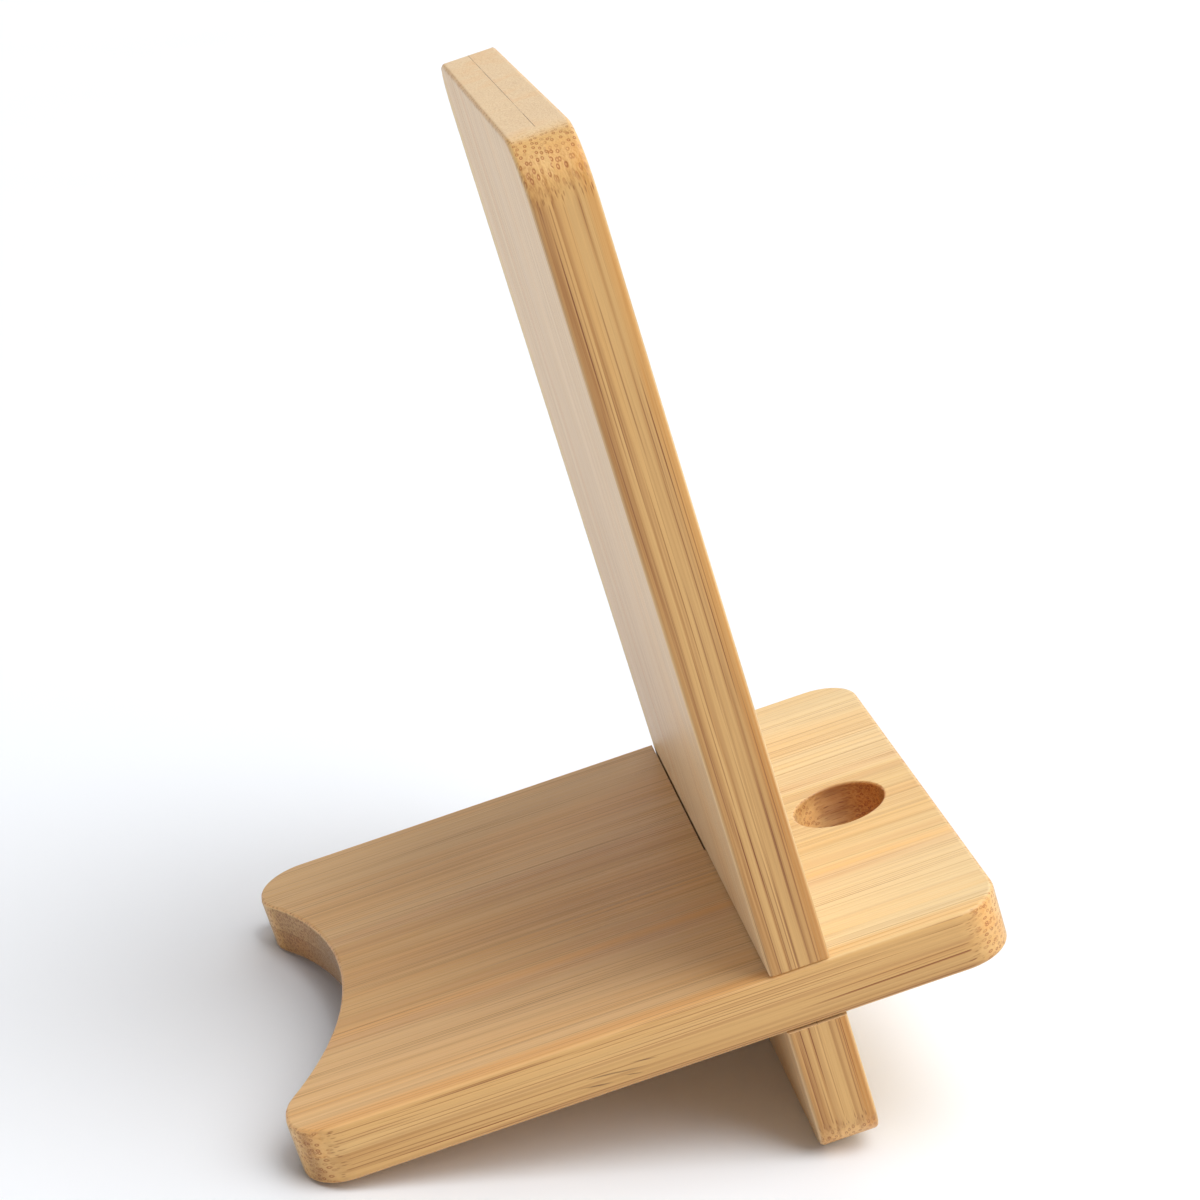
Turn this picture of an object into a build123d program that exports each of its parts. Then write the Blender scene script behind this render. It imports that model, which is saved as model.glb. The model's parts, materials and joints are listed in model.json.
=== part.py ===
"""Phone stand: two laminated bamboo boards, cross-halved into each other and tilted back.

Both boards are drawn square to each other, the seat board flat and the back board upright, and the
pair is tilted back about the X axis. Width runs along X, the front is -Y and +Z is up. The origin is
the middle of the bounding box at the surface that the stand rests on. Millimetres throughout.
"""
import os
from math import asin, atan2, degrees, tan

from build123d import *

# Overall sizes
BOARD_WIDTH = 70.0  # both boards, flush on both sides
BOARD_THICKNESS = 6.6  # both boards, two plies
SEAT_LENGTH = 78.6  # from the rear feet to the front edge
BACK_LENGTH = 113.5  # from the foot to the top end

# Where the boards cross. The ledge and the foot together set the tilt.
LEDGE_DEPTH = 19.2  # back board's front face to the seat's front edge
NOTCH_FROM_FOOT = 16.2  # back board: foot to the seat's underside
SLOT_CLEARANCE = 0.2  # on each side of a board in the other board's slot
SLOT_END_CLEARANCE = 0.1  # beyond the middle of each board

# Edges and corners
SEAT_CORNER_RADIUS = 5.6  # in plan
BACK_TOP_RADIUS = 7.0
BACK_FOOT_RADIUS = 5.0
ARRIS_RADIUS = 0.5  # sanded outer edges

# Concave scoop that leaves two feet at the seat's rear
FOOT_WIDTH = 8.4  # seat's side to where the scoop meets the rear end
SCOOP_DEPTH = 8.3
SCOOP_BLEND_RADIUS = 6.0  # where the scoop runs into each foot
BLEND_SHARE = 0.95  # the most of a foot's flat end that the blend takes

# Cable hole through the middle of the ledge
HOLE_RADIUS = 5.3
HOLE_ARRIS_RADIUS = 0.3

# Lamination: strips run the long way of each board, edge to edge, in two plies
PLY_THICKNESS = BOARD_THICKNESS / 2
STRIP_WIDTH = 21.0
SEAT_TOP_JOINT = 7.0  # X of one strip joint in each ply; the others follow every strip width
SEAT_BOTTOM_JOINT = 8.2
BACK_FRONT_JOINT = 8.0
BACK_REAR_JOINT = 9.2

# Places that follow
BACK_FRONT_Y = LEDGE_DEPTH - SEAT_LENGTH
BACK_REAR_Y = BACK_FRONT_Y + BOARD_THICKNESS
HOLE_Y = BACK_FRONT_Y - LEDGE_DEPTH / 2
TILT = degrees(atan2(NOTCH_FROM_FOOT, -BACK_REAR_Y))
STRIP_NAMES = ("left", "centre", "right", "edge")  # from -X to +X, as seen from the front
REACH = 2 * (SEAT_LENGTH + BACK_LENGTH)  # beyond either board in every direction
SAME = 1e-6  # lengths closer than this are the same


def eased(board, end_axis, radius):
    """Rounds the arrises around both faces of a board whose faces are square to end_axis."""
    faces = board.faces().filter_by(end_axis).sort_by(end_axis)
    return fillet(faces[0].edges() + faces[-1].edges(), radius)


def seat_outline():
    """The seat in plan: rounded corners and a scoop between two feet at the rear."""
    plate = Rectangle(BOARD_WIDTH, SEAT_LENGTH, align=(Align.CENTER, Align.MAX))
    plate = fillet(plate.vertices(), SEAT_CORNER_RADIUS)
    half_chord = BOARD_WIDTH / 2 - FOOT_WIDTH
    scoop_radius = (half_chord**2 + SCOOP_DEPTH**2) / (2 * SCOOP_DEPTH)
    plate = plate - Pos(0, scoop_radius - SCOOP_DEPTH) * Circle(scoop_radius)
    tips = plate.vertices().group_by(Axis.Y)[-1].sort_by(lambda v: abs(v.X))[:2]
    # A fillet reaches its radius times the tangent of half the turn along the foot's end.
    half_turn = asin(half_chord / scoop_radius) / 2
    room = (FOOT_WIDTH - SEAT_CORNER_RADIUS) / tan(half_turn)
    return fillet(tips, min(SCOOP_BLEND_RADIUS, BLEND_SHARE * room))


def seat_board():
    """The seat board, flat, its underside at Z = 0 and its rear end at Y = 0."""
    board = eased(extrude(seat_outline(), BOARD_THICKNESS), Axis.Z, ARRIS_RADIUS)
    slot_width = BOARD_THICKNESS + 2 * SLOT_CLEARANCE
    slot = Pos(-SLOT_END_CLEARANCE, BACK_REAR_Y + SLOT_CLEARANCE, 0) * Box(
        BOARD_WIDTH, slot_width, BOARD_THICKNESS, align=(Align.MIN, Align.MAX, Align.MIN)
    )
    hole = Pos(0, HOLE_Y, 0) * Cylinder(
        HOLE_RADIUS, BOARD_THICKNESS, align=(Align.CENTER, Align.CENTER, Align.MIN)
    )
    board = board - slot - hole
    rims = board.edges().filter_by(GeomType.CIRCLE)
    rims = rims.filter_by(lambda e: abs(e.radius - HOLE_RADIUS) < SAME)
    return fillet(rims, HOLE_ARRIS_RADIUS)


def back_board():
    """The back board, upright, its foot NOTCH_FROM_FOOT below the seat's underside."""
    outline = Rectangle(BOARD_WIDTH, BACK_LENGTH, align=(Align.CENTER, Align.MIN))
    outline = fillet(outline.vertices().group_by(Axis.Y)[-1], BACK_TOP_RADIUS)
    outline = fillet(outline.vertices().group_by(Axis.Y)[0], BACK_FOOT_RADIUS)
    plane = Plane(origin=(0, BACK_REAR_Y, -NOTCH_FROM_FOOT), x_dir=(1, 0, 0), z_dir=(0, -1, 0))
    board = eased(extrude(plane * outline, BOARD_THICKNESS), Axis.Y, ARRIS_RADIUS)
    notch_height = BOARD_THICKNESS + 2 * SLOT_CLEARANCE
    notch = Pos(SLOT_END_CLEARANCE, BACK_REAR_Y, -SLOT_CLEARANCE) * Box(
        BOARD_WIDTH, BOARD_THICKNESS, notch_height, align=(Align.MAX, Align.MAX, Align.MIN)
    )
    return board - notch


def strip_spans(joint):
    """The X spans of a ply's strips, from -X to +X, for a ply with a joint at this X.

    The first and last strips take what is left of the board's width.
    """
    first = joint - STRIP_WIDTH
    cuts = [first + STRIP_WIDTH * i for i in range(len(STRIP_NAMES) - 1)]
    edges = [-BOARD_WIDTH, *cuts, BOARD_WIDTH]
    return zip(STRIP_NAMES, edges, edges[1:])


def ply_slab(low, high, axis):
    """A slab that holds one ply between two places along the axis of the board's thickness."""
    size = (REACH, high - low, REACH) if axis == Axis.Y else (REACH, REACH, high - low)
    at = (0, (low + high) / 2, 0) if axis == Axis.Y else (0, 0, (low + high) / 2)
    return Pos(*at) * Box(*size)


def cut_strips(ply, joint, prefix, piece_names, axis):
    """Cuts a ply into strips; a strip that the slot parts is named piece by piece along axis."""
    nodes = {}
    for name, low, high in strip_spans(joint):
        band = Pos((low + high) / 2, 0, 0) * Box(high - low, REACH, REACH)
        pieces = (ply & band).solids().sort_by(axis)
        if len(pieces) == 1:
            nodes[f"{prefix}_{name}"] = pieces[0]
            continue
        for piece_name, piece in zip(piece_names, pieces):
            nodes[f"{prefix}_{name}_{piece_name}"] = piece
    return nodes


def seat_strips():
    """The seat's strips by node name."""
    board = seat_board()
    top = board & ply_slab(PLY_THICKNESS, BOARD_THICKNESS, Axis.Z)
    bottom = board & ply_slab(0, PLY_THICKNESS, Axis.Z)
    names = ("front", "rear")
    return {
        **cut_strips(top, SEAT_TOP_JOINT, "seat_top_ply", names, Axis.Y),
        **cut_strips(bottom, SEAT_BOTTOM_JOINT, "seat_bottom_ply", names, Axis.Y),
    }


def back_strips():
    """The back board's strips by node name."""
    board = back_board()
    middle_y = BACK_REAR_Y - PLY_THICKNESS
    front = board & ply_slab(BACK_FRONT_Y, middle_y, Axis.Y)
    rear = board & ply_slab(middle_y, BACK_REAR_Y, Axis.Y)
    names = ("foot", "upper")
    return {
        **cut_strips(front, BACK_FRONT_JOINT, "back_front_ply", names, Axis.Z),
        **cut_strips(rear, BACK_REAR_JOINT, "back_rear_ply", names, Axis.Z),
    }


def stand():
    """All strips by node name, tilted and set down with the origin below the middle."""
    nodes = {**seat_strips(), **back_strips()}
    tilted = {name: Rot(X=-TILT) * strip for name, strip in nodes.items()}
    box = Compound(list(tilted.values())).bounding_box()
    set_down = Pos(-box.center().X, -box.center().Y, -box.min.Z)
    return {name: set_down * strip for name, strip in tilted.items()}


def main():
    os.makedirs("parts", exist_ok=True)
    for name, strip in stand().items():
        export_step(strip, f"parts/{name}.step")


main()
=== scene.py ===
"""Phone stand: the finish of two cross-halved boards of laminated bamboo, in a plain light studio.

The wood is one solid pattern for each board: vascular bundles and fibres run the long way of the board,
so its long faces show fine lines and its rounded corners show the bundles cut across. Every strip
has its own piece of culm, its own tone and its own marks. Lengths are metres unless a name ends in _mm.
"""
import json
import logging
import math
from dataclasses import dataclass
from enum import Enum
from typing import Any

import bmesh
import bpy
from mathutils import Matrix, Vector


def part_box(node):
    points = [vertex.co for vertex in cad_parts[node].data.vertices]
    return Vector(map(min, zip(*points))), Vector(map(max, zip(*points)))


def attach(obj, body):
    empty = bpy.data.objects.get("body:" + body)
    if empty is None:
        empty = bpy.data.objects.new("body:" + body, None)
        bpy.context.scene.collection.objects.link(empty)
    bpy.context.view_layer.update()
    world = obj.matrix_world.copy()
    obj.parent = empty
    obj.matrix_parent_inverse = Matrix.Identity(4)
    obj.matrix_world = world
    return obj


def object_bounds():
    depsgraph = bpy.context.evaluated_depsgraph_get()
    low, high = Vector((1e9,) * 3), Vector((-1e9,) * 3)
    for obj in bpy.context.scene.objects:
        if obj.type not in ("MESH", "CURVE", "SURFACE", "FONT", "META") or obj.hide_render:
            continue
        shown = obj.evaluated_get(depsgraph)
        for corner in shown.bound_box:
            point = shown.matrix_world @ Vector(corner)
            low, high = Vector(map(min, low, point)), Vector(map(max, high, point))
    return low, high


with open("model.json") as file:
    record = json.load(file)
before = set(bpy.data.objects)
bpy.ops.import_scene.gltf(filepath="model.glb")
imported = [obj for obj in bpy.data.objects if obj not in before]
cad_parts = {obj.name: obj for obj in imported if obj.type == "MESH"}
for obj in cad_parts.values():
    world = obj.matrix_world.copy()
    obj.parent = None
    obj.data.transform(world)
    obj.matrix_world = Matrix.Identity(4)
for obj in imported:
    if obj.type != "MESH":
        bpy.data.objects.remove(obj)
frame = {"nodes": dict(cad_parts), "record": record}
CAD_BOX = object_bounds()

MM = 0.001
PER_MM = 1 / MM
ROUND_OFF = 1e-5  # lengths closer than this are the same
WIDTH_AXIS = Vector((1, 0, 0))  # both boards lie across the stand

# The colour sockets of a Mix node, which share their names with its other kinds
MIX_A, MIX_B, MIX_OUT = 6, 7, 2

# Facing is 1 where a surface is square to one of its board's axes and 0 where it lies along it.
# Each pair is where a change with facing starts and where it is complete.
FLAT_SPAN = (0.5, 0.95)  # a side turns to a face
SIDE_SPAN = (0.2, 0.9)  # a face turns to a side
END_SPAN = (0.2, 0.65)  # long grain turns to a cut end
SQUARE_SPAN = (0.9, 0.99)  # a rounded corner turns to a flat end
LINE_SPAN = (0.15, 0.5)  # lines fade as long grain turns to a cut end
RING_SPAN = (0.2, 0.5)  # rings appear as it does
WARM_SHADE_FACE_SPAN = (0.4, 0.9)  # painted warm shade, where light bounced off the back board falls, keeps to the faces
SCOOP_SHADE_END_SPAN = (0.4, 0.8)  # painted shade on the scoop's wall, which faces the board's end
SCOOP_SHADE_FACE_SPAN = (0.3, 0.7)  # and not its faces
STREAK_SIDE_SPAN = (0.5, 0.9)  # a streak in the thickness keeps to the sides
FADE = (1.0, 0.0)  # a ramp that falls from full to nothing
STRAIGHT = 0.999  # least facing of a glued face, towards one of its axes

CULM_STEP_MM = (31.7, 211.3, 17.9)  # from one strip's piece of culm to the next
STREAK_FULL = 0.2  # share of a streak's half width that has its full strength
FLECK_SPAN = (0.3, 1.2)  # a fleck fades over this span of its half sizes

log = logging.getLogger("phone_stand")


def linear(hex_colour: str) -> tuple[float, float, float, float]:
    """Turns an sRGB hex colour to the linear values that the shaders take.

    Args:
        hex_colour: Six hex digits after a hash sign.

    Returns:
        Linear red, green and blue, and an alpha of one.
    """
    channels = [int(hex_colour[i:i + 2], 16) / 255 for i in (1, 3, 5)]
    bright = [c / 12.92 if c <= 0.04045 else ((c + 0.055) / 1.055) ** 2.4 for c in channels]
    return (*bright, 1.0)


def add_node(tree: bpy.types.NodeTree, kind: str, inputs: dict[str | int, Any] | None = None,
             **settings: Any) -> bpy.types.Node:
    """Adds a node with its settings and its inputs.

    Args:
        tree: The tree that gets the node.
        kind: Blender's name for the node's type.
        inputs: A value, or the socket to link, for each input's name or place.
        settings: The node's own properties.

    Returns:
        The new node.
    """
    node = tree.nodes.new(kind)
    for name, value in settings.items():
        setattr(node, name, value)
    for key, value in (inputs or {}).items():
        if isinstance(value, bpy.types.NodeSocket):
            tree.links.new(value, node.inputs[key])
        else:
            node.inputs[key].default_value = value
    return node


def mount_entry(name: str) -> dict[str, Any]:
    """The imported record's entry for the mount of this name."""
    return next(m for m in frame["record"]["mounts"] if m["name"] == name)


def mount(name: str) -> tuple[Vector, Vector]:
    """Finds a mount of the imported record.

    Args:
        name: The mount's name.

    Returns:
        Its place and its axis.
    """
    found = mount_entry(name)
    return Vector(found["pos_m"]), Vector(found["axis"])


class Tone(Enum):
    """How light a strip is, by how far out of the culm's wall it was sawn: face, side and end."""

    STRAW = ("#EFD39E", "#DDB374", "#ECC07E")
    HONEY = ("#E9C98E", "#D6A867", "#E6B773")
    AMBER = ("#E2BC80", "#CC9854", "#DDA961")
    # The rear ply's face: paler and pinker, in part a painted reflection of the pale surround at low
    # angles
    BLUSH_AND_SHEEN = ("#E8C697", "#D6A867", "#E6B773")


# Stains, as what they multiply the wood's colour by
GOLD, UMBER, RUST = "#FFE7BC", "#DCC9B2", "#E8CDBC"


class Across(Enum):
    """Which way across the board a streak lies, by its place in a pattern's coordinates."""

    WIDTH = 0
    THICKNESS = 2


@dataclass(frozen=True)
class Streak:
    """A long tinted streak of the culm: where its middle is across the board, and how wide."""

    middle_mm: float
    half_width_mm: float
    colour: str
    strength: float
    across: Across = Across.WIDTH


@dataclass(frozen=True)
class Fleck:
    """A short dark check or fibre end: its middle, its half sizes and how far it slants."""

    middle_mm: tuple[float, float, float]
    half_size_mm: tuple[float, float, float]
    slant: float = 0.0
    strength: float = 0.85


@dataclass(frozen=True)
class BoardAxes:
    """The way a board lies: fibres run along it, and its face is square to the thickness.

    A pattern's coordinates are millimetres across the width, along the fibres from the middle of
    the cable hole, and through the thickness from the glue between the plies.
    """

    body: str
    fibre: Vector
    face: Vector

    def turn(self) -> Matrix:
        """The turn from the stand's axes to the pattern's."""
        return Matrix((WIDTH_AXIS, self.fibre, self.face))

    def reach(self, way: Vector) -> tuple[float, float]:
        """Measures the board along a direction.

        Args:
            way: The direction, as a unit vector.

        Returns:
            The least and the greatest place along it.
        """
        nodes = [frame["nodes"][n] for n in frame["record"]["behaviour"]["bodies"][self.body]]
        places = [v.co.dot(way) for node in nodes for v in node.data.vertices]
        return min(places), max(places)

    def origin_mm(self) -> Vector:
        """Where a pattern starts, once turned: level with the cable hole, in mid-thickness."""
        along = mount("cable_hole")[0].dot(self.fibre)
        return Vector((0, along, sum(self.reach(self.face)) / 2)) * PER_MM

    def end_mm(self) -> float:
        """Where the board's fibres end, in a pattern's coordinates."""
        return self.reach(self.fibre)[1] * PER_MM - self.origin_mm().y


def seat_axes() -> BoardAxes:
    """The seat: its fibres run from front to rear and its face is the ledge."""
    return BoardAxes("seat_board", -mount("phone_rest")[1], mount("cable_hole")[1])


def back_axes() -> BoardAxes:
    """The back board: its fibres run up it, and its face is the one a phone leans on."""
    return BoardAxes("back_board", mount("cable_hole")[1], mount("phone_rest")[1])


@dataclass(frozen=True)
class BambooFinish:
    """Laminated moso bamboo, planed, sanded and wiped with a satin oil.

    Sanding leaves a smooth, faintly ribbed surface: the dark lines lie a little lower than the wood
    between them and shine less. It gives the eye long fine lines on the faces, rings on the corners
    and a soft sheen at low angles.
    """

    name: str
    axes: BoardAxes
    tone: Tone
    seed: int
    streaks: tuple[Streak, ...] = ()
    flecks: tuple[Fleck, ...] = ()
    bundle_pitch_mm: float = 0.55  # between vascular bundles, the rings on a cut end
    thread_pitch_mm: float = 0.34
    fibre_width_mm: float = 0.6
    fibre_length_mm: float = 120.0
    hair_width_mm: float = 0.2  # fine fibres; finer in life, drawn just wide enough to show
    hair_length_mm: float = 22.0
    tone_width_mm: float = 5.0
    tone_length_mm: float = 190.0
    sway_mm: float = 0.5  # how far a bundle strays sideways
    dip_mm: float = 0.45  # how far it strays in and out of the surface, so that its line ends
    stray_width_mm: float = 5.0
    stray_length_mm: float = 60.0
    relief_mm: float = 0.04  # how far down the dark lines may lie
    # Where a noise rises from nothing to full
    tone_span: tuple[float, float] = (0.3, 0.7)
    fibre_span: tuple[float, float] = (0.46, 0.74)
    hair_span: tuple[float, float] = (0.3, 0.75)
    # Edges of a bundle and of a thread, as shares of their pitch
    core_edge: tuple[float, float] = (0.05, 0.16)
    ring_inner_edge: tuple[float, float] = (0.06, 0.16)
    ring_outer_edge: tuple[float, float] = (0.24, 0.36)
    thread_edge: tuple[float, float] = (0.08, 0.24)
    # How the bundles differ: the chances between which they go from faintest to full
    ring_chance: tuple[float, float] = (0.0, 0.7)
    faintest_ring: float = 0.4
    core_chance: tuple[float, float] = (0.1, 0.9)
    faintest_core: float = 0.15
    # Strengths on a face and on a side
    umber_strength: tuple[float, float] = (0.1, 0.55)
    fibre_strength: tuple[float, float] = (0.18, 0.36)
    thread_strength: tuple[float, float] = (0.4, 0.6)
    core_strength: tuple[float, float] = (0.62, 1.0)
    golden_strength: float = 0.32
    hair_strength: float = 0.1
    line_colour: str = "#AE8456"
    ring_colour: str = "#BE8A5C"
    ring_strength: float = 0.75
    flat_end_rings: float = 0.16  # share of the rings' strength that a flat end keeps
    # A flat end's colour; the seat's darker one is painted shade for its rear ends
    flat_end_tone_and_shade: str = "#F0CE9C"
    check_colour: str = "#5E3A1C"
    wear_and_highlight_colour: str = "#F0CF9B"  # rounded edges: lighter where sanding and hands rub the oil off, and a painted highlight along them
    wear_and_highlight_strength: float = 0.14
    wear_and_highlight_span: tuple[float, float] = (0.06, 0.24)  # highest halfway round an edge
    roughness: tuple[float, float] = (0.4, 0.58)  # between the lines and on them
    dullest: float = 1.3  # sum of hair and ring at which the roughness is greatest
    ring_dulls: float = 0.5  # share of a ring that counts with the hairs
    core_sinks: float = 1.2  # how far down a bundle's core lies, against a hair
    refraction: float = 1.5
    coat: float = 0.08
    coat_roughness: float = 0.3
    worked: bool = False  # whether it is part of the seat, with its scoop and its hole
    # Painted warm shade on the seat to the rear of the back board, lit there by light bounced off the
    # board
    warm_shade_colour: str = "#FFEBDA"
    warm_shade_span_mm: tuple[float, float] = (8.0, 18.0)  # from the cable hole's middle
    # Painted shade on the scoop's wall, which faces the rear, where little light comes from
    scoop_shade_colour: str = "#BFAF9F"
    scoop_shade_span_mm: tuple[float, float] = (40.0, 50.0)  # from the cable hole's middle
    scoop_shade_least: float = 0.75  # share of the painted shade that the palest grain takes
    feet_from_end_mm: tuple[float, float] = (1.8, 0.1)  # the painted shade fades out before the feet's ends
    # Painted shade in the cable hole, strongest on its front wall, which faces away from the key light
    bore_shade_colour: str = "#B8895E"
    bore_shade_past_bore_mm: tuple[float, float] = (0.05, 0.35)
    bore_shade_span_mm: tuple[float, float] = (-4.0, 3.0)  # from the hole's middle, front to rear
    bore_shade_least: float = 0.12  # share of the painted shade that the hole's rear wall, which the key light reaches, takes
    streak_least: float = 0.55  # share of a streak's strength between the hairs

    def build(self) -> bpy.types.Material:
        """Builds the finish's material.

        Returns:
            The material, named for the wood and the strip.
        """
        material = bpy.data.materials.new(self.name)
        material.use_nodes = True
        tree = material.node_tree
        tree.nodes.clear()
        place, facing = self._place(tree)
        grown = self._grown(tree, place)
        lines = self._lines(tree, grown)
        colour = self._colour(tree, place, facing, lines)
        self._surface(tree, colour, facing, lines)
        return material

    def _place(self, tree: bpy.types.NodeTree) -> tuple[bpy.types.NodeSocket, dict[str, Any]]:
        """Turns the surface's place and facing to the board's own axes.

        Args:
            tree: The material's tree.

        Returns:
            The place in millimetres, and how far the surface faces sideways, endways and flat.
        """
        turn = self.axes.turn().to_euler()
        origin = self.axes.origin_mm()
        where = add_node(tree, "ShaderNodeTexCoord")
        place = add_node(tree, "ShaderNodeMapping", {
            "Vector": where.outputs["Object"], "Location": -origin,
            "Rotation": turn, "Scale": (PER_MM,) * 3})
        way = add_node(tree, "ShaderNodeMapping", {
            "Vector": where.outputs["Normal"], "Rotation": turn}, vector_type="VECTOR")
        size = add_node(tree, "ShaderNodeVectorMath", {0: way.outputs[0]}, operation="ABSOLUTE")
        parts = add_node(tree, "ShaderNodeSeparateXYZ", {0: size.outputs[0]})
        facing = {"side": parts.outputs["X"], "end": parts.outputs["Y"], "face": parts.outputs["Z"]}
        return place.outputs[0], facing

    def _grown(self, tree: bpy.types.NodeTree, place: bpy.types.NodeSocket) -> bpy.types.NodeSocket:
        """Moves to this strip's own piece of culm and lets its fibres wander a little.

        Args:
            tree: The material's tree.
            place: The place in millimetres.

        Returns:
            The place within the culm, in millimetres.
        """
        shift = Vector(CULM_STEP_MM) * self.seed
        moved = add_node(tree, "ShaderNodeVectorMath", {0: place, 1: shift}, operation="ADD")
        across, along = 1 / self.stray_width_mm, 1 / self.stray_length_mm
        slow = add_node(tree, "ShaderNodeVectorMath", {
            0: moved.outputs[0], 1: (across, along, across)}, operation="MULTIPLY")
        stray = add_node(tree, "ShaderNodeTexNoise", {
            "Vector": slow.outputs[0], "Scale": 1.0, "Detail": 1.0})
        centred = add_node(tree, "ShaderNodeVectorMath", {
            0: stray.outputs["Color"], 1: (0.5, 0.5, 0.5)}, operation="SUBTRACT")
        reach = (2 * self.sway_mm, 0.0, 2 * self.dip_mm)
        grown = add_node(tree, "ShaderNodeVectorMath", {
            0: centred.outputs[0], 1: reach, 2: moved.outputs[0]}, operation="MULTIPLY_ADD")
        return grown.outputs[0]

    def _noise(self, tree: bpy.types.NodeTree, grown: bpy.types.NodeSocket,
               size_mm: tuple[float, float, float], span: tuple[float, float],
               detail: float = 2.0) -> bpy.types.NodeSocket:
        """A stretched noise, its contrast raised.

        Args:
            tree: The material's tree.
            grown: The place within the culm.
            size_mm: How large one patch is across, along and through the board.
            span: The noise values that become nothing and full.
            detail: How many finer layers it has.

        Returns:
            A value from 0 to 1.
        """
        scaled = add_node(tree, "ShaderNodeVectorMath", {
            0: grown, 1: tuple(1 / s for s in size_mm)}, operation="MULTIPLY")
        noise = add_node(tree, "ShaderNodeTexNoise", {
            "Vector": scaled.outputs[0], "Scale": 1.0, "Detail": detail})
        return self._ramp(tree, noise.outputs[0], *span)

    def _ramp(self, tree: bpy.types.NodeTree, value: bpy.types.NodeSocket, low: float, high: float,
              to_low: float = 0.0, to_high: float = 1.0) -> bpy.types.NodeSocket:
        """Eases a value from one span to another.

        Args:
            tree: The material's tree.
            value: The value to ease.
            low: Where the ramp starts.
            high: Where the ramp ends.
            to_low: What it gives up to its start.
            to_high: What it gives past its end.

        Returns:
            The eased value.
        """
        ramp = add_node(tree, "ShaderNodeMapRange", {
            "Value": value, "From Min": low, "From Max": high,
            "To Min": to_low, "To Max": to_high}, interpolation_type="SMOOTHSTEP")
        return ramp.outputs[0]

    def _product(self, tree: bpy.types.NodeTree, *factors: Any) -> bpy.types.NodeSocket:
        """Multiplies two or more values.

        Args:
            tree: The material's tree.
            factors: Sockets or numbers.

        Returns:
            Their product.
        """
        total = factors[0]
        for factor in factors[1:]:
            node = add_node(tree, "ShaderNodeMath", {0: total, 1: factor}, operation="MULTIPLY")
            total = node.outputs[0]
        return total

    def _lines(self, tree: bpy.types.NodeTree,
               grown: bpy.types.NodeSocket) -> dict[str, bpy.types.NodeSocket]:
        """The strip's fibres and bundles.

        Args:
            tree: The material's tree.
            grown: The place within the culm.

        Returns:
            Values from 0 to 1 for the slow tone, the soft fibres, the fine hairs, the bundles' dark
            rings and cores, and the threads between them.
        """
        fibre, hair, tone = self.fibre_width_mm, self.hair_width_mm, self.tone_width_mm
        parts = add_node(tree, "ShaderNodeSeparateXYZ", {0: grown})
        section = add_node(tree, "ShaderNodeCombineXYZ", {
            "X": parts.outputs["X"], "Y": parts.outputs["Z"]})
        cells = add_node(tree, "ShaderNodeTexVoronoi", {
            "Vector": section.outputs[0], "Scale": 1 / self.bundle_pitch_mm, "Randomness": 0.9},
            voronoi_dimensions="2D")
        chance = add_node(tree, "ShaderNodeSeparateXYZ", {0: cells.outputs["Color"]})
        gap = cells.outputs["Distance"]
        inner = self._ramp(tree, gap, *self.ring_inner_edge)
        outer = self._ramp(tree, gap, *self.ring_outer_edge, *FADE)
        threads = add_node(tree, "ShaderNodeTexVoronoi", {
            "Vector": section.outputs[0], "Scale": 1 / self.thread_pitch_mm, "Randomness": 1.0},
            voronoi_dimensions="2D")
        return {
            "tone": self._noise(tree, grown, (tone, self.tone_length_mm, tone), self.tone_span),
            "fibre": self._noise(
                tree, grown, (fibre, self.fibre_length_mm, fibre), self.fibre_span),
            "hair": self._noise(tree, grown, (hair, self.hair_length_mm, hair), self.hair_span),
            "ring": self._product(tree, inner, outer, self._ramp(
                tree, chance.outputs["X"], *self.ring_chance, self.faintest_ring, 1.0)),
            "core": self._product(
                tree, self._ramp(tree, gap, *self.core_edge, *FADE), self._ramp(
                    tree, chance.outputs["Y"], *self.core_chance, self.faintest_core, 1.0)),
            "thread": self._ramp(tree, threads.outputs["Distance"], *self.thread_edge, *FADE),
        }

    def _mix(self, tree: bpy.types.NodeTree, factor: Any, first: Any, second: Any,
             blend: str = "MIX") -> bpy.types.NodeSocket:
        """Mixes two colours.

        Args:
            tree: The material's tree.
            factor: How much of the second.
            first: The colour to start from.
            second: The colour to add.
            blend: Blender's name for the way to mix.

        Returns:
            The mixed colour.
        """
        node = add_node(tree, "ShaderNodeMix", {0: factor, MIX_A: first, MIX_B: second},
                        data_type="RGBA", blend_type=blend)
        return node.outputs[MIX_OUT]

    def _stain(self, tree: bpy.types.NodeTree, factor: Any, colour: bpy.types.NodeSocket,
               stain: str) -> bpy.types.NodeSocket:
        """Darkens a colour as a stain does, which keeps it warm.

        Args:
            tree: The material's tree.
            factor: How much of the stain.
            colour: The colour to darken.
            stain: What the full stain multiplies it by.

        Returns:
            The stained colour.
        """
        return self._mix(tree, factor, colour, linear(stain), "MULTIPLY")

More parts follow.
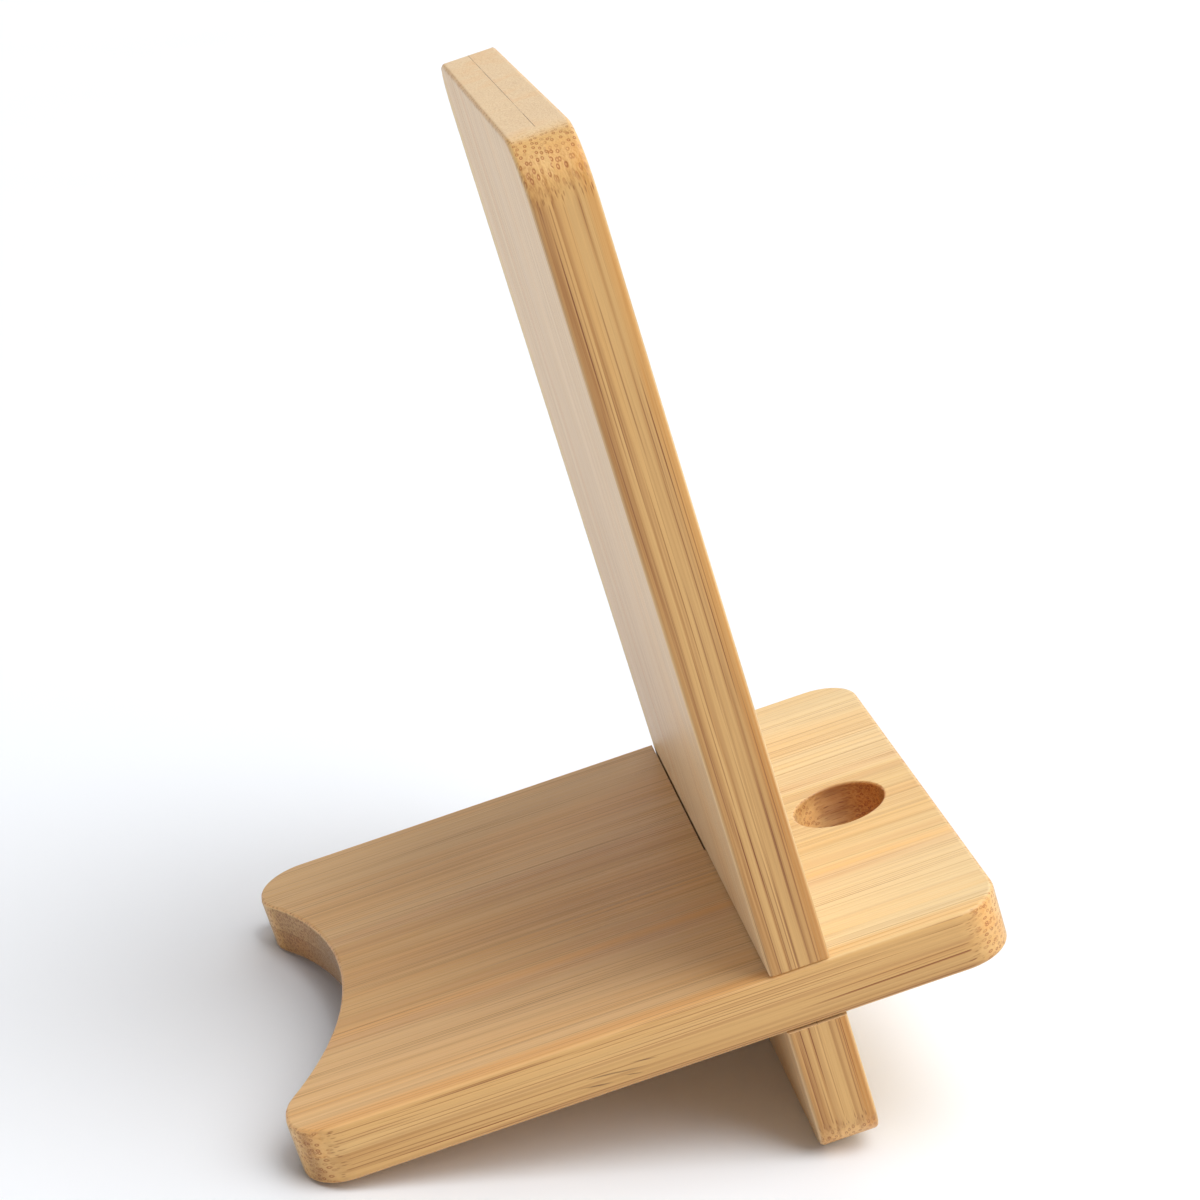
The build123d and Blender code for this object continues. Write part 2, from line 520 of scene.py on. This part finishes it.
    def _colour(self, tree: bpy.types.NodeTree, place: bpy.types.NodeSocket,
                facing: dict[str, Any], lines: dict[str, Any]) -> bpy.types.NodeSocket:
        """The wood's colour, with every layer of its grain.

        Args:
            tree: The material's tree.
            place: The place in millimetres.
            facing: How far the surface faces each way.
            lines: The fibres and bundles.

        Returns:
            The colour.
        """
        face, side, end = (linear(c) for c in self.tone.value)
        flatness = self._ramp(tree, facing["face"], *FLAT_SPAN)
        endness = self._ramp(tree, facing["end"], *END_SPAN)
        squareness = self._ramp(tree, facing["end"], *SQUARE_SPAN)
        colour = self._mix(tree, flatness, side, face)
        colour = self._mix(tree, endness, colour, end)
        colour = self._mix(tree, squareness, colour, linear(self.flat_end_tone_and_shade))
        golden = self._product(tree, self._ramp(tree, lines["tone"], 0.5, 1.0), self.golden_strength)
        colour = self._stain(tree, golden, colour, GOLD)
        dark = self._ramp(tree, lines["tone"], 0.0, 0.45, *FADE)
        depth = self._ramp(tree, facing["side"], *SIDE_SPAN, *self.umber_strength)
        colour = self._stain(tree, self._product(tree, dark, depth), colour, UMBER)
        for streak in self.streaks:
            shown = self._streak(tree, place, facing, lines, streak)
            colour = self._stain(tree, shown, colour, streak.colour)
        long_face = self._ramp(tree, facing["end"], *LINE_SPAN, *FADE)
        soft = self._ramp(tree, facing["side"], *SIDE_SPAN, *self.fibre_strength)
        fine = self._ramp(tree, facing["side"], *SIDE_SPAN, *self.thread_strength)
        sharp = self._ramp(tree, facing["side"], *SIDE_SPAN, *self.core_strength)
        for part, strength in (("fibre", soft), ("thread", fine), ("core", sharp)):
            shown = self._product(tree, lines[part], long_face, strength)
            colour = self._stain(tree, shown, colour, self.line_colour)
        hairs = self._product(tree, lines["hair"], self.hair_strength)
        colour = self._stain(tree, hairs, colour, self.line_colour)
        ring_depth = self._product(
            tree, self._ramp(tree, facing["end"], *RING_SPAN, 0.0, self.ring_strength),
            self._ramp(tree, facing["end"], *SQUARE_SPAN, 1.0, self.flat_end_rings))
        colour = self._stain(tree, self._product(tree, lines["ring"], ring_depth), colour,
                             self.ring_colour)
        for fleck in self.flecks:
            colour = self._mix(tree, self._fleck(tree, place, lines, fleck), colour,
                               linear(self.check_colour))
        if self.worked:
            colour = self._worked(tree, place, facing, lines, colour)
        return colour

    def _worked(self, tree: bpy.types.NodeTree, place: bpy.types.NodeSocket,
                facing: dict[str, Any], lines: dict[str, Any],
                colour: bpy.types.NodeSocket) -> bpy.types.NodeSocket:
        """Painted shade on the seat: a warm tint to the rear of the back board, the scoop's wall, and
        the front wall of the cable hole.

        Args:
            tree: The material's tree.
            place: The place in millimetres.
            facing: How far the surface faces each way.
            lines: The fibres and bundles, which make the cut ends uneven.
            colour: The wood's colour.

        Returns:
            The colour.
        """
        parts = add_node(tree, "ShaderNodeSeparateXYZ", {0: place})
        along = parts.outputs["Y"]
        # Painted warm shade to the rear of the back board, from light bounced off it
        warm_shade = self._product(tree, self._ramp(tree, along, *self.warm_shade_span_mm),
                               self._ramp(tree, facing["face"], *WARM_SHADE_FACE_SPAN))
        colour = self._stain(tree, warm_shade, colour, self.warm_shade_colour)
        uneven = self._ramp(tree, lines["hair"], 0.0, 1.0, self.scoop_shade_least, 1.0)
        # Painted shade on the scoop's wall, which little light reaches
        feet = tuple(self.axes.end_mm() - short for short in self.feet_from_end_mm)
        sawn = self._product(
            tree, self._ramp(tree, facing["end"], *SCOOP_SHADE_END_SPAN), uneven,
            self._ramp(tree, along, *self.scoop_shade_span_mm),
            self._ramp(tree, facing["face"], *SCOOP_SHADE_FACE_SPAN, *FADE),
            self._ramp(tree, along, *feet, *FADE))
        colour = self._stain(tree, sawn, colour, self.scoop_shade_colour)
        across = add_node(tree, "ShaderNodeCombineXYZ", {"X": parts.outputs["X"], "Y": along})
        far = add_node(tree, "ShaderNodeVectorMath", {0: across.outputs[0]}, operation="LENGTH")
        # Painted shade in the cable hole, strongest on its front wall
        bore_mm = mount_entry("cable_hole")["dims"]["r_mm"]
        rim = tuple(bore_mm + past for past in self.bore_shade_past_bore_mm)
        wall = self._ramp(tree, far.outputs["Value"], *rim, *FADE)
        toward_front = self._ramp(tree, along, *self.bore_shade_span_mm, 1.0, self.bore_shade_least)
        bore_shade = self._product(tree, wall, toward_front, uneven)
        return self._stain(tree, bore_shade, colour, self.bore_shade_colour)

    def _streak(self, tree: bpy.types.NodeTree, place: bpy.types.NodeSocket,
                facing: dict[str, Any], lines: dict[str, Any],
                streak: Streak) -> bpy.types.NodeSocket:
        """How strongly a streak shows.

        Args:
            tree: The material's tree.
            place: The place in millimetres.
            facing: How far the surface faces each way.
            lines: The fibres and bundles, which break the streak up.
            streak: The streak.

        Returns:
            A value from 0 to its strength.
        """
        parts = add_node(tree, "ShaderNodeSeparateXYZ", {0: place})
        off = add_node(tree, "ShaderNodeMath", {
            0: parts.outputs[streak.across.value], 1: streak.middle_mm}, operation="SUBTRACT")
        far = add_node(tree, "ShaderNodeMath", {0: off.outputs[0]}, operation="ABSOLUTE")
        near = self._ramp(tree, far.outputs[0], STREAK_FULL * streak.half_width_mm,
                          streak.half_width_mm, *FADE)
        broken = self._ramp(tree, lines["hair"], 0.0, 1.0, self.streak_least, 1.0)
        if streak.across is Across.WIDTH:
            return self._product(tree, near, broken, streak.strength)
        seen = self._ramp(tree, facing["side"], *STREAK_SIDE_SPAN)
        return self._product(tree, near, broken, seen, streak.strength)

    def _fleck(self, tree: bpy.types.NodeTree, place: bpy.types.NodeSocket,
               lines: dict[str, Any], fleck: Fleck) -> bpy.types.NodeSocket:
        """How strongly a fleck shows.

        Args:
            tree: The material's tree.
            place: The place in millimetres.
            lines: The fibres, which roughen the fleck's ends.
            fleck: The fleck.

        Returns:
            A value from 0 to 1.
        """
        turned = add_node(tree, "ShaderNodeMapping", {
            "Vector": place, "Location": fleck.middle_mm, "Rotation": (fleck.slant, 0.0, 0.0),
            "Scale": fleck.half_size_mm}, vector_type="TEXTURE")
        far = add_node(tree, "ShaderNodeVectorMath", {0: turned.outputs[0]}, operation="LENGTH")
        ragged = add_node(tree, "ShaderNodeMath", {
            0: lines["hair"], 1: 0.5, 2: far.outputs["Value"]}, operation="MULTIPLY_ADD")
        return self._ramp(tree, ragged.outputs[0], *FLECK_SPAN, fleck.strength, 0.0)

    def _surface(self, tree: bpy.types.NodeTree, colour: bpy.types.NodeSocket,
                 facing: dict[str, Any], lines: dict[str, Any]) -> None:
        """The satin oiled surface: ribs, and a sheen that the grain breaks up.

        Args:
            tree: The material's tree.
            colour: The wood's colour.
            facing: How far the surface faces each way.
            lines: The fibres and bundles.
        """
        across = add_node(tree, "ShaderNodeMath", {
            0: facing["face"], 1: facing["face"]}, operation="MULTIPLY")
        slope = add_node(tree, "ShaderNodeMath", {0: 1.0, 1: across.outputs[0]}, operation="SUBTRACT")
        steep = self._product(tree, across.outputs[0], slope.outputs[0])
        # Lighter along rounded edges: wear, and a painted highlight
        wear_and_highlight = self._product(tree, self._ramp(tree, steep, *self.wear_and_highlight_span), self.wear_and_highlight_strength)
        edge_wear_and_highlight = self._mix(tree, wear_and_highlight, colour, linear(self.wear_and_highlight_colour))
        dull = add_node(tree, "ShaderNodeMath", {
            0: lines["ring"], 1: self.ring_dulls, 2: lines["hair"]}, operation="MULTIPLY_ADD")
        rough = self._ramp(tree, dull.outputs[0], 0.0, self.dullest, *self.roughness)
        ribs = add_node(tree, "ShaderNodeMath", {
            0: lines["core"], 1: self.core_sinks, 2: dull.outputs[0]}, operation="MULTIPLY_ADD")
        low = add_node(tree, "ShaderNodeMath", {0: 0.0, 1: ribs.outputs[0]}, operation="SUBTRACT")
        bump = add_node(tree, "ShaderNodeBump", {
            "Height": low.outputs[0], "Strength": 0.5, "Distance": self.relief_mm * MM})
        shader = add_node(tree, "ShaderNodeBsdfPrincipled", {
            "Base Color": edge_wear_and_highlight, "Roughness": rough, "IOR": self.refraction,
            "Normal": bump.outputs[0], "Coat Weight": self.coat,
            "Coat Roughness": self.coat_roughness})
        add_node(tree, "ShaderNodeOutputMaterial", {"Surface": shader.outputs[0]})


@dataclass(frozen=True)
class GlueFinish:
    """Urea resin glue, cured and sanded flush: an amber film, thin enough to show the wood's tone."""

    name: str = "urea_glue_sanded_flush"
    colour: str = "#A9784A"
    dark_colour: str = "#7A5230"
    patch_mm: float = 3.0

    def build(self) -> bpy.types.Material:
        """Builds the glue's material.

        Returns:
            The material.
        """
        material = bpy.data.materials.new(self.name)
        material.use_nodes = True
        tree = material.node_tree
        tree.nodes.clear()
        where = add_node(tree, "ShaderNodeTexCoord")
        patches = add_node(tree, "ShaderNodeTexNoise", {
            "Vector": where.outputs["Object"], "Scale": PER_MM / self.patch_mm, "Detail": 3.0})
        colour = add_node(tree, "ShaderNodeMix", {
            0: patches.outputs[0], MIX_A: linear(self.colour), MIX_B: linear(self.dark_colour)},
            data_type="RGBA")
        rough = add_node(tree, "ShaderNodeMapRange", {
            "Value": patches.outputs[0], "To Min": 0.35, "To Max": 0.6})
        bump = add_node(tree, "ShaderNodeBump", {
            "Height": patches.outputs[0], "Strength": 0.3, "Distance": 0.02 * MM})
        shader = add_node(tree, "ShaderNodeBsdfPrincipled", {
            "Base Color": colour.outputs[MIX_OUT], "Roughness": rough.outputs[0], "IOR": 1.5,
            "Normal": bump.outputs[0]})
        add_node(tree, "ShaderNodeOutputMaterial", {"Surface": shader.outputs[0]})
        return material


@dataclass
class GlueLines:
    """The glue that shows wherever two strips of a board meet at its surface.

    A rule finds the lines: they are the edges of a strip that lie between a glued face and a bare one.
    """

    axes: BoardAxes
    inner_ply: str
    finish: bpy.types.Material
    radius: float = 0.03 * MM
    thinnest: float = 0.3  # share of the radius where the film is thinnest
    sides: int = 6
    cuts: int = 5  # places between two corners where the thickness changes
    seed: int = 11

    def strips(self) -> list[str]:
        """The names of the board's strips."""
        return frame["record"]["behaviour"]["bodies"][self.axes.body]

    def host(self) -> bpy.types.Object:
        """Joins copies of the strips and marks their glued faces.

        A glued face is marked on both of its strips, and as leading on the one below it or to its
        left, so that each line is found once.

        Returns:
            An object that holds the marked copy.
        """
        made = bmesh.new()
        glued = made.faces.layers.float.new("glued")
        leading = made.faces.layers.float.new("leading")
        boxes = {name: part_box(name) for name in self.strips()}
        left = min(low.x for low, _ in boxes.values())
        right = max(high.x for _, high in boxes.values())
        for name, (low, high) in boxes.items():
            first = len(made.faces)
            made.from_mesh(frame["nodes"][name].data)
            made.faces.ensure_lookup_table()
            faces = made.faces[first:]
            heights = [v.co.dot(self.axes.face) for f in faces for v in f.verts]
            is_inner = name.startswith(self.inner_ply)
            level = max(heights) if is_inner else min(heights)
            for face in faces:
                middle = face.calc_center_median()
                sideways = face.normal.dot(WIDTH_AXIS)
                upward = face.normal.dot(self.axes.face)
                on_right = sideways > STRAIGHT and abs(middle.x - high.x) < ROUND_OFF < right - high.x
                on_left = sideways < -STRAIGHT and abs(middle.x - low.x) < ROUND_OFF < low.x - left
                at_ply = abs(middle.dot(self.axes.face) - level) < ROUND_OFF and (
                    upward > STRAIGHT if is_inner else upward < -STRAIGHT)
                face[glued] = float(on_right or on_left or at_ply)
                face[leading] = float(on_right or (at_ply and is_inner))
        mesh = bpy.data.meshes.new("strips_marked")
        made.to_mesh(mesh)
        made.free()
        host = bpy.data.objects.new("strips_marked", mesh)
        bpy.context.scene.collection.objects.link(host)
        return host

    def tree(self) -> bpy.types.GeometryNodeTree:
        """Builds the tree that finds the lines and lays a bead of glue along them.

        Returns:
            The tree, with inputs for its sizes, its seed and its finish.
        """
        tree = bpy.data.node_groups.new("glue_lines", "GeometryNodeTree")
        face = tree.interface
        face.new_socket("Strips", in_out="INPUT", socket_type="NodeSocketGeometry")
        for name, kind in (("Radius", "Float"), ("Thinnest", "Float"), ("Sides", "Int"),
                           ("Cuts", "Int"), ("Seed", "Int"), ("Finish", "Material")):
            face.new_socket(name, in_out="INPUT", socket_type=f"NodeSocket{kind}")
        face.new_socket("Lines", in_out="OUTPUT", socket_type="NodeSocketGeometry")
        given = add_node(tree, "NodeGroupInput").outputs
        merged = add_node(tree, "GeometryNodeMergeByDistance", {
            "Geometry": given["Strips"], "Distance": ROUND_OFF / 10})
        halves = []
        for name in ("glued", "leading"):
            mark = add_node(tree, "GeometryNodeInputNamedAttribute", {"Name": name}, data_type="FLOAT")
            half = add_node(tree, "FunctionNodeCompare", {
                "A": mark.outputs[0], "B": 0.5, "Epsilon": 0.1}, operation="EQUAL")
            halves.append(half.outputs[0])
        shown = add_node(tree, "FunctionNodeBooleanMath", {0: halves[0], 1: halves[1]}, operation="AND")
        lines = add_node(tree, "GeometryNodeMeshToCurve", {
            "Mesh": merged.outputs[0], "Selection": shown.outputs[0]})
        cut = add_node(tree, "GeometryNodeSubdivideCurve", {
            "Curve": lines.outputs[0], "Cuts": given["Cuts"]})
        uneven = add_node(tree, "FunctionNodeRandomValue", {
            "Min": given["Thinnest"], "Max": 1.0, "Seed": given["Seed"]}, data_type="FLOAT")
        ring = add_node(tree, "GeometryNodeCurvePrimitiveCircle", {
            "Resolution": given["Sides"], "Radius": given["Radius"]})
        bead = add_node(tree, "GeometryNodeCurveToMesh", {
            "Curve": cut.outputs[0], "Profile Curve": ring.outputs[0],
            "Scale": uneven.outputs["Value"], "Fill Caps": True})
        plain = add_node(tree, "GeometryNodeRealizeInstances", {"Geometry": bead.outputs[0]})
        dressed = add_node(tree, "GeometryNodeSetMaterial", {
            "Geometry": plain.outputs[0], "Material": given["Finish"]})
        add_node(tree, "NodeGroupOutput", {"Lines": dressed.outputs[0]})
        return tree

    def build(self) -> bpy.types.Object:
        """Lays the glue lines of the board.

        Returns:
            One plain mesh that rides on the board.
        """
        host = self.host()
        tree = self.tree()
        modifier = host.modifiers.new("glue_lines", "NODES")
        modifier.node_group = tree
        sockets = {s.name: s.identifier for s in tree.interface.items_tree if s.in_out == "INPUT"}
        values = {"Radius": self.radius, "Thinnest": self.thinnest, "Sides": self.sides,
                  "Cuts": self.cuts, "Seed": self.seed, "Finish": self.finish}
        for name, value in values.items():
            modifier[sockets[name]] = value
        seen = host.evaluated_get(bpy.context.evaluated_depsgraph_get())
        mesh = bpy.data.meshes.new_from_object(seen)
        mesh.name = f"glue_lines_{self.axes.body}"
        bpy.data.objects.remove(host)
        tidy = bmesh.new()
        tidy.from_mesh(mesh)
        bmesh.ops.recalc_face_normals(tidy, faces=tidy.faces)
        for polygon in tidy.faces:
            polygon.smooth = True
        tidy.to_mesh(mesh)
        tidy.free()
        piece = bpy.data.objects.new(mesh.name, mesh)
        bpy.context.scene.collection.objects.link(piece)
        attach(piece, self.axes.body)
        return piece


@dataclass(frozen=True)
class Strip:
    """One bamboo strip: its node's name, or how its nodes' names start where a slot parts it."""

    name: str
    tone: Tone
    streaks: tuple[Streak, ...] = ()
    flecks: tuple[Fleck, ...] = ()


@dataclass
class Board:
    """A board of two plies of bamboo strips, and the glue between them."""

    axes: BoardAxes
    inner_ply: str
    strips: tuple[Strip, ...]
    first_seed: int
    flat_end_tone_and_shade: str
    worked: bool = False

    def dress(self, glue: bpy.types.Material) -> None:
        """Gives every strip its finish and lays the glue lines.

        Args:
            glue: The glue's material.
        """
        for seed, strip in enumerate(self.strips, self.first_seed):
            finish = BambooFinish(f"bamboo_sanded_{strip.name}", self.axes, strip.tone, seed,
                                  strip.streaks, strip.flecks,
                                  flat_end_tone_and_shade=self.flat_end_tone_and_shade, worked=self.worked)
            self.dress_strip(strip, finish.build())
        lines = GlueLines(self.axes, self.inner_ply, glue).build()
        log.info("%s: %d faces", lines.name, len(lines.data.polygons))

    def dress_strip(self, strip: Strip, material: bpy.types.Material) -> None:
        """Puts a material on every node of a strip.

        Args:
            strip: The strip.
            material: Its material.
        """
        nodes = [o for name, o in frame["nodes"].items() if name.startswith(strip.name)]
        for node in nodes:
            for slot in node.material_slots:
                slot.material = material
            log.info("%s: %s", node.name, material.name)


SEAT_STRIPS = (
    Strip("seat_top_ply_left", Tone.STRAW, (
        Streak(-33.6, 1.6, GOLD, 0.6),
        Streak(-29.5, 0.8, GOLD, 0.3),
        Streak(-15.0, 1.2, GOLD, 0.4),
        Streak(-16.8, 1.6, RUST, 0.55))),
    Strip("seat_top_ply_centre", Tone.HONEY, (
        Streak(-12.5, 1.5, RUST, 0.4),
        Streak(-3.0, 3.5, RUST, 0.25),
        Streak(5.6, 1.2, RUST, 0.5))),
    Strip("seat_top_ply_right", Tone.STRAW, (Streak(8.6, 1.6, RUST, 0.5),)),
    Strip("seat_top_ply_edge", Tone.STRAW),
    Strip("seat_bottom_ply_left", Tone.HONEY, (), (
        Fleck((-35.0, 34.3, -1.2), (1.5, 4.2, 0.15), 0.10),
        Fleck((-35.0, 36.8, -1.9), (1.5, 2.6, 0.13), 0.14),
        Fleck((-35.0, 31.2, -0.8), (1.5, 2.0, 0.12), 0.12),
        Fleck((-35.0, 33.0, -1.9), (1.5, 1.6, 0.10), 0.18))),
    Strip("seat_bottom_ply_centre", Tone.HONEY),
    Strip("seat_bottom_ply_right", Tone.AMBER),
    Strip("seat_bottom_ply_edge", Tone.HONEY),
)

BACK_STRIPS = (
    Strip("back_front_ply_left", Tone.HONEY, (
        Streak(2.7, 1.1, GOLD, 0.9, Across.THICKNESS),
        Streak(1.3, 0.3, UMBER, 0.7, Across.THICKNESS))),
    Strip("back_front_ply_centre", Tone.STRAW),
    Strip("back_front_ply_right", Tone.HONEY),
    Strip("back_front_ply_edge", Tone.AMBER),
    Strip("back_rear_ply_left", Tone.BLUSH_AND_SHEEN, (
        Streak(-2.8, 1.6, UMBER, 1.0, Across.THICKNESS),
        Streak(-1.1, 0.25, UMBER, 0.9, Across.THICKNESS)), (
        Fleck((-15.0, 73.0, -3.3), (0.18, 2.6, 1.0), strength=0.5),)),
    Strip("back_rear_ply_centre", Tone.BLUSH_AND_SHEEN),
    Strip("back_rear_ply_right", Tone.BLUSH_AND_SHEEN, (Streak(20.0, 4.0, GOLD, 0.2),), (
        Fleck((19.0, 18.9, -3.3), (0.25, 3.0, 1.0), strength=0.5),)),
    Strip("back_rear_ply_edge", Tone.HONEY),
)


@dataclass(frozen=True)
class PaintedFloor:
    """Matt white studio paint, rolled: an even pale ground that only takes soft shadows."""

    name: str = "matt_white_paint_rolled"
    colour: str = "#F5F7FA"
    thin_colour: str = "#F1F4F8"
    patch: float = 0.12
    stipple_mm: float = 1.5

    def build(self) -> bpy.types.Material:
        """Builds the floor's material.

        Returns:
            The material.
        """
        material = bpy.data.materials.new(self.name)
        material.use_nodes = True
        tree = material.node_tree
        tree.nodes.clear()
        where = add_node(tree, "ShaderNodeTexCoord")
        patches = add_node(tree, "ShaderNodeTexNoise", {
            "Vector": where.outputs["Object"], "Scale": 1 / self.patch})
        colour = add_node(tree, "ShaderNodeMix", {
            0: patches.outputs[0], MIX_A: linear(self.colour), MIX_B: linear(self.thin_colour)},
            data_type="RGBA")
        stipple = add_node(tree, "ShaderNodeTexNoise", {
            "Vector": where.outputs["Object"], "Scale": PER_MM / self.stipple_mm})
        bump = add_node(tree, "ShaderNodeBump", {
            "Height": stipple.outputs[0], "Strength": 0.1, "Distance": 0.02 * MM})
        shader = add_node(tree, "ShaderNodeBsdfPrincipled", {
            "Base Color": colour.outputs[MIX_OUT], "Roughness": 0.8, "Normal": bump.outputs[0]})
        add_node(tree, "ShaderNodeOutputMaterial", {"Surface": shader.outputs[0]})
        return material


@dataclass(frozen=True)
class SoftLight:
    """A distant soft light: the side it comes from, its strength and how wide it looks."""

    name: str
    azimuth_deg: float
    elevation_deg: float
    strength: float
    spread_deg: float = 45.0
    colour: str = "#FFFFFF"


@dataclass
class Studio:
    """A plain pale floor, a pale surround and soft lights."""

    floor_size: float = 8.0
    surround: str = "#F4F8FF"
    low_strength: float = 1.0  # up to where a level view ends
    middle_strength: float = 0.28
    top_strength: float = 0.14
    low_span: tuple[float, float] = (0.17, 0.27)  # height, as the sine of the angle above level
    top_span: tuple[float, float] = (0.4, 0.8)
    lights: tuple[SoftLight, ...] = (
        SoftLight("key_light", -30.0, 55.0, 2.3, spread_deg=60.0),
        SoftLight("top_light", -60.0, 75.0, 0.77),
        SoftLight("right_fill", 70.0, 35.0, 0.53),
    )

    def build(self) -> None:
        """Lays the floor, sets the surround and hangs the lights."""
        self.lay_floor()
        self.set_surround()
        for soft in self.lights:
            self.hang(soft)

    def lay_floor(self) -> None:
        """Lays a floor at the level the stand rests on."""
        half = self.floor_size / 2
        made = bmesh.new()
        bmesh.ops.create_grid(made, x_segments=8, y_segments=8, size=half)
        mesh = bpy.data.meshes.new("floor")
        made.to_mesh(mesh)
        made.free()
        mesh.transform(Matrix.Translation((0, 0, CAD_BOX[0].z)))
        mesh.materials.append(PaintedFloor().build())
        floor = bpy.data.objects.new("floor", mesh)
        bpy.context.scene.collection.objects.link(floor)
        log.info("floor: %.1f m square", self.floor_size)

    def set_surround(self) -> None:
        """Surrounds the stand with pale light, bright near the horizon and dim overhead."""
        world = bpy.data.worlds.new("pale_surround")
        world.use_nodes = True
        tree = world.node_tree
        tree.nodes.clear()
        where = add_node(tree, "ShaderNodeTexCoord")
        height = add_node(tree, "ShaderNodeSeparateXYZ", {0: where.outputs["Generated"]}).outputs["Z"]
        low = add_node(tree, "ShaderNodeMapRange", {
            "Value": height, "From Min": self.low_span[0], "From Max": self.low_span[1],
            "To Min": self.low_strength - self.middle_strength, "To Max": 0.0})
        rest = add_node(tree, "ShaderNodeMapRange", {
            "Value": height, "From Min": self.top_span[0], "From Max": self.top_span[1],
            "To Min": self.middle_strength, "To Max": self.top_strength})
        strength = add_node(tree, "ShaderNodeMath", {
            0: low.outputs[0], 1: rest.outputs[0]}, operation="ADD")
        light = add_node(tree, "ShaderNodeBackground", {
            "Color": linear(self.surround), "Strength": strength.outputs[0]})
        add_node(tree, "ShaderNodeOutputWorld", {"Surface": light.outputs[0]})
        bpy.context.scene.world = world

    def hang(self, soft: SoftLight) -> None:
        """Hangs a soft light that shines on the stand from its side.

        Args:
            soft: The light.
        """
        light = bpy.data.lights.new(soft.name, "SUN")
        light.angle = math.radians(soft.spread_deg)
        light.energy = soft.strength
        light.color = linear(soft.colour)[:3]
        lamp = bpy.data.objects.new(soft.name, light)
        bpy.context.scene.collection.objects.link(lamp)
        out = outward(soft.azimuth_deg, soft.elevation_deg)
        lamp.location = middle() + out
        lamp.rotation_mode = "QUATERNION"
        lamp.rotation_quaternion = (-out).to_track_quat("-Z", "Y")
        log.info("%s: strength %.2f", soft.name, soft.strength)


def middle() -> Vector:
    """The middle of the stand's box."""
    return (CAD_BOX[0] + CAD_BOX[1]) / 2


def outward(azimuth_deg: float, elevation_deg: float) -> Vector:
    """The way from the stand to a place round it.

    Args:
        azimuth_deg: 0 is in front of the stand and 90 to its right, seen from the front.
        elevation_deg: The angle above the floor.

    Returns:
        A unit vector.
    """
    azimuth, elevation = math.radians(azimuth_deg), math.radians(elevation_deg)
    level = math.cos(elevation)
    return Vector((
        math.sin(azimuth) * level, -math.cos(azimuth) * level, math.sin(elevation)))


@dataclass(frozen=True)
class Viewpoint:
    """A camera on a long lens, looking down on the stand's left side."""

    azimuth_deg: float = -96.36
    elevation_deg: float = 17.72
    roll_deg: float = -0.58
    distance: float = 0.31625
    lens_mm: float = 85.3
    shift: float = 0.1083  # share of the frame's width by which the lens's axis is left of its middle
    aim: tuple[float, float, float] = (0.0009, 0.015, -0.0023)  # from the stand's middle

    def build(self) -> None:
        """Sets up the scene's camera."""
        out = outward(self.azimuth_deg, self.elevation_deg)
        data = bpy.data.cameras.new("camera")
        data.lens = self.lens_mm
        data.shift_x = self.shift
        data.clip_start = 0.01
        camera = bpy.data.objects.new("camera", data)
        bpy.context.scene.collection.objects.link(camera)
        turn = (-out).to_track_quat("-Z", "Y").to_matrix()
        roll = Matrix.Rotation(math.radians(self.roll_deg), 3, out)
        camera.matrix_world = Matrix.Translation(
            middle() + Vector(self.aim) + out * self.distance) @ (roll @ turn).to_4x4()
        bpy.context.scene.camera = camera
        log.info("camera: %.0f mm lens", self.lens_mm)


def main() -> None:
    """Builds the camera, the studio and the finish of each board."""
    logging.basicConfig(level=logging.INFO, format="%(message)s")
    bpy.context.scene.view_settings.view_transform = "Standard"
    Viewpoint().build()
    Studio().build()
    glue = GlueFinish().build()
    # The seat's flat ends are darker than the back board's: painted shade for its rear ends at the
    # scoop and the feet
    Board(seat_axes(), "seat_bottom_ply", SEAT_STRIPS, 1, "#CDA878", worked=True).dress(glue)
    Board(back_axes(), "back_rear_ply", BACK_STRIPS, 21, "#F0CE9C").dress(glue)


if __name__ == "__main__":
    main()
